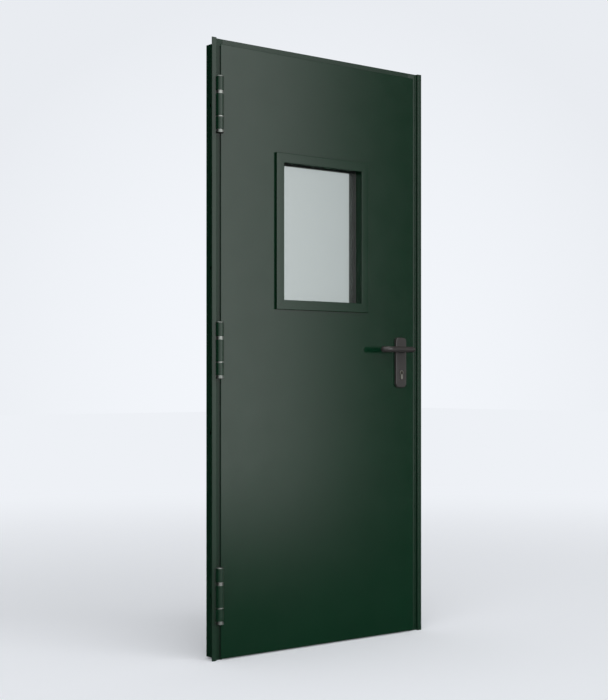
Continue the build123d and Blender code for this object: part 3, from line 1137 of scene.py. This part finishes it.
@dataclass
class LeverSet:
    """Levers, their bushes, backplates and spindle."""

    x: float = 839.5
    z: float = 1058.0
    length: float = 117.0
    radius: float = 11.0
    bend: float = 27.0
    bend_angle: float = 60.0
    tail: float = 11.5
    end_round: float = 10.5
    leaf_faces: tuple[float, float] = (-4.0, 58.0)
    root: float = 4.0
    standoff: float = 64.0
    plate: float = 10.0
    bush_wall: float = 2.2
    bush_proud: float = 1.0
    bush_play: float = 0.35
    bush_sunk: float = 0.5
    sides: int = 40
    bend_steps: int = 14
    dome_steps: int = 8
    screw: Screw = Screw(radius=3.6)
    screw_heights: tuple[float, float] = (931.0, 1091.0)

    def build(self) -> None:
        """Dress the plates and model levers, bushes and screws."""
        dress_nodes(HANDLE_COAT, "front_backplate", "back_backplate")
        dress_nodes(ZINC_STEEL, "spindle")
        for side, face in zip(Side, self.leaf_faces):
            fit(self.lever(side, face), HANDLE_COAT, Slot.HANDLE, Body.LEVER, f"{side.word}_lever")
            fit(self.bush(side, face), NYLON, Slot.SEAL, Body.LEAF)
        level = self.leaf_faces[1] + self.plate
        places = [(self.x, level, z) for z in self.screw_heights]
        heads = self.screw.row("back_plate_screws", places, (0, 1, 0))
        fit(heads, HANDLE_COAT, Slot.HANDLE, Body.LEAF)

    def lever(self, side: Side, face: float) -> Item:
        """Model one lever: a round bar mitred at its neck, and bent back at its domed end.

        Args:
            side: The side of the leaf.
            face: The level of the leaf's face.

        Returns:
            The lever.
        """
        out = side.value
        corner = face + out * self.standoff
        start = face + out * self.root
        bar = Workpiece.disc(f"{side.word}_return_lever", (self.x, start, self.z), self.radius, (0, out, 0),
                             self.sides, filled=False)
        bar.select(Pick.EDGE, lambda place, lie: True).extrude(y=corner - start + out * 2 * self.radius)
        bar.cut((self.x, corner, self.z), (-1, out, 0), fill=False)
        bar.select(Pick.EDGE, lambda place, lie: abs((place.y - corner) * out - place.x + self.x) < NEAR)
        angle = math.radians(self.bend_angle)
        bend_x = self.x - self.length + self.bend * math.tan(angle / 2)
        bar.extrude(x=bend_x - self.x).flatten(0, bend_x)
        centre = (bend_x, corner - out * self.bend, self.z)
        bar.spin(self.bend_angle * out, centre, (0, 0, -1), self.bend_steps)
        bar.extrude(x=-self.tail * math.cos(angle), y=-out * self.tail * math.sin(angle))
        bar.close().bevel(self.end_round, self.dome_steps)
        bar.select(Pick.EDGE, lambda place, lie: abs(place.y - start) < NEAR).close()
        return bar.finish()

    def bush(self, side: Side, face: float) -> Item:
        """Model the bush that the lever turns in, seated in its plate.

        Args:
            side: The side of the leaf.
            face: The level of the leaf's face.

        Returns:
            The bush.
        """
        out = side.value
        level = face + out * self.plate
        bore = self.radius + self.bush_play
        seat = level - out * self.bush_sunk
        ring = Workpiece.disc(f"{side.word}_lever_bush", (self.x, seat, self.z), bore + self.bush_wall,
                              (0, out, 0), self.sides)
        ring.extrude(y=out * (self.bush_proud + self.bush_sunk))
        ring.select(Pick.EDGE, lambda place, lie: (place.y - level) * out > self.bush_proud - NEAR)
        ring.bevel(self.bush_proud / 2)
        tool = Workpiece.disc("bore", (self.x, level - out * self.plate / 2, self.z), bore, (0, out, 0),
                              self.sides)
        tool.extrude(y=out * self.plate)
        return ring.combine(tool, "DIFFERENCE").finish()


@dataclass
class LockSet:
    """Cylinder, edge plate, latch and bolt."""

    x: float = 839.5
    z: float = 973.0
    ends: tuple[float, float] = (-17.0, 71.0)
    radius: float = 8.5
    stem_width: float = 10.0
    height: float = 33.0
    edge_round: float = 0.5
    plug_radius: float = 6.2
    plug_gap: float = 0.3
    plug_sunk: float = 0.6
    key_width: float = 2.8
    key_height: float = 8.6
    key_step: float = 0.9
    key_depth: float = 6.4
    key_overlap: float = 0.172
    bore_depth: float = 8.0
    tool_clear: float = 2.0
    sides: int = 40
    bore_sides: int = 48
    foot_steps: int = 12
    forend_face: float = 886.5
    mid_y: float = 29.0
    forend_screws: tuple[float, ...] = (912.0, 1123.0)
    screw: Screw = Screw()

    def build(self) -> None:
        """Dress the lock and model its cylinder and screws."""
        dress_nodes(ZINC_STEEL, "lock_forend", "latch_bolt", "dead_bolt")
        fit(self.cylinder(), NICKEL_BRASS, Slot.NICKEL, Body.LEAF, "lock_cylinder")
        # The plugs' dark finish is painted shade for their keyways.
        fit(self.plugs(), KEYWAY_SHADE_BRASS, Slot.NICKEL, Body.LEAF)
        places = [(self.forend_face, self.mid_y, z) for z in self.forend_screws + (self.z,)]
        fit(self.screw.row("edge_plate_screws", places, (1, 0, 0)), ZINC_STEEL, Slot.STEEL, Body.LEAF)

    def cylinder(self) -> Item:
        """Model the profile cylinder, bored at each end for its plug.

        Returns:
            The cylinder.
        """
        low, high = self.ends
        half = self.stem_width / 2
        foot = self.z + self.radius - self.height + half
        body = Workpiece.disc("profile_cylinder", (self.x, low, self.z), self.radius, (0, 1, 0), self.sides,
                              filled=False)
        body.select(Pick.VERT, lambda place, lie: place.z < self.z and abs(place.x - self.x) < half - NEAR)
        body.remove()
        shoulder = self.z - math.sqrt(self.radius ** 2 - half ** 2)
        body.select(Pick.VERT, lambda place, lie: abs(place.z - shoulder) < NEAR).extrude(z=foot - shoulder)
        body.select(Pick.VERT, lambda place, lie: place.z < foot + NEAR and place.x < self.x)
        body.spin(180, (self.x, low, foot), (0, 1, 0), self.foot_steps).merge()
        body.select(Pick.EDGE, lambda place, lie: True).close().extrude(y=high - low)
        body.select(Pick.EDGE, lambda place, lie: abs(lie.y) < ALONG).bevel(self.edge_round, 2)
        for end, side in zip(self.ends, Side):
            out = side.value
            bore = Workpiece.disc("bore", (self.x, end - out * self.bore_depth, self.z),
                                  self.plug_radius + self.plug_gap, (0, out, 0), self.bore_sides)
            bore.extrude(y=out * (self.bore_depth + self.tool_clear))
            body.combine(bore, "DIFFERENCE")
        return body.finish()

    def plugs(self) -> Item:
        """Model the turning plug at each end of the cylinder, with its stepped keyway.

        Returns:
            The two plugs as one piece.
        """
        pair = []
        half, reach = self.key_width / 2, self.key_height / 4 + self.key_overlap / 2
        for end, side in zip(self.ends, Side):
            out = side.value
            face = end - out * self.plug_sunk
            root = end - out * self.bore_depth
            plug = Workpiece.disc("plug", (self.x, root, self.z), self.plug_radius, (0, out, 0),
                                  self.bore_sides)
            plug.extrude(y=face - root)
            plug.select(Pick.EDGE, lambda place, lie: abs(place.y - face) < NEAR).bevel(self.edge_round, 2)
            for sign in (-1, 1):
                middle = self.x + sign * self.key_step / 2
                level = self.z - sign * self.key_height / 4
                slot = Workpiece.block("keyway", (middle - half, end - out * self.key_depth, level - reach),
                                       (middle + half, end + out * self.tool_clear, level + reach))
                plug.combine(slot, "DIFFERENCE")
            pair.append(plug.finish())
        return join("cylinder_plugs", pair)


def main() -> None:
    """Build the studio and every sub-assembly in order."""
    logging.basicConfig(level=logging.INFO, format="%(message)s")
    bpy.context.scene.view_settings.view_transform = "Standard"
    Studio().build()
    for assembly in (FrameSet(), Leaf(), VisionPanel(), HingeSet(), LeverSet(), LockSet()):
        assembly.build()


if __name__ == "__main__":
    main()
